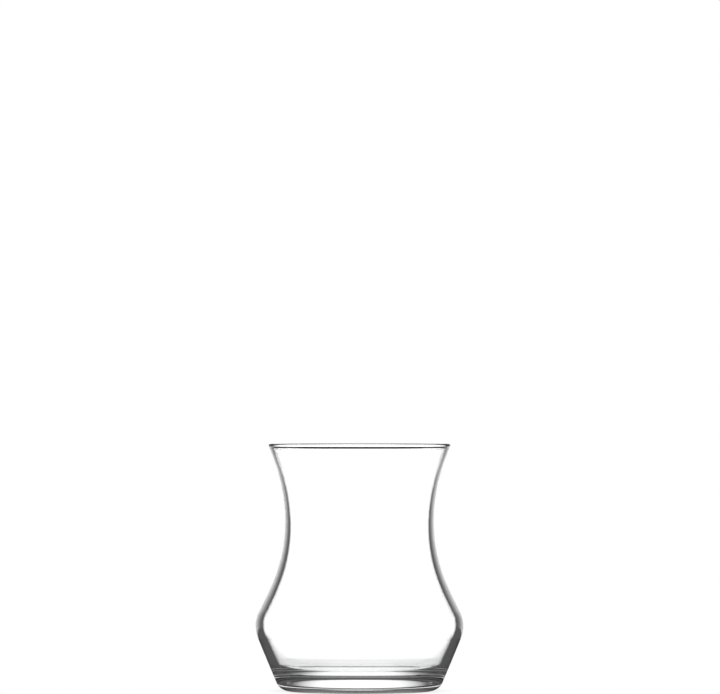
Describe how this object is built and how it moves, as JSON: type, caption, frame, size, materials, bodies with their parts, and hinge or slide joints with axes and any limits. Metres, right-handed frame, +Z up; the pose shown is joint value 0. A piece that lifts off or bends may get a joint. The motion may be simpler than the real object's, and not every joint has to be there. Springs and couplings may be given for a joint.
{
  "type": "chai glass",
  "caption": "Clear tea glass with a heavy base, a rounded belly, a narrow waist to hold it by and a flared mouth with a fire-polished rim.",
  "frame": {"origin": "centre of the foot, on the plane that the glass stands on", "axes": "+Z up along the axis of the glass, towards the mouth; the glass is round, so X and Y are any two level directions"},
  "size_m": [0.0688, 0.0688, 0.0817],
  "materials": {
    "clear_glass": "clear, smooth and fire-polished"
  },
  "bodies": {
    "root": {"tea_glass": "clear_glass"}
  },
  "joints": []
}
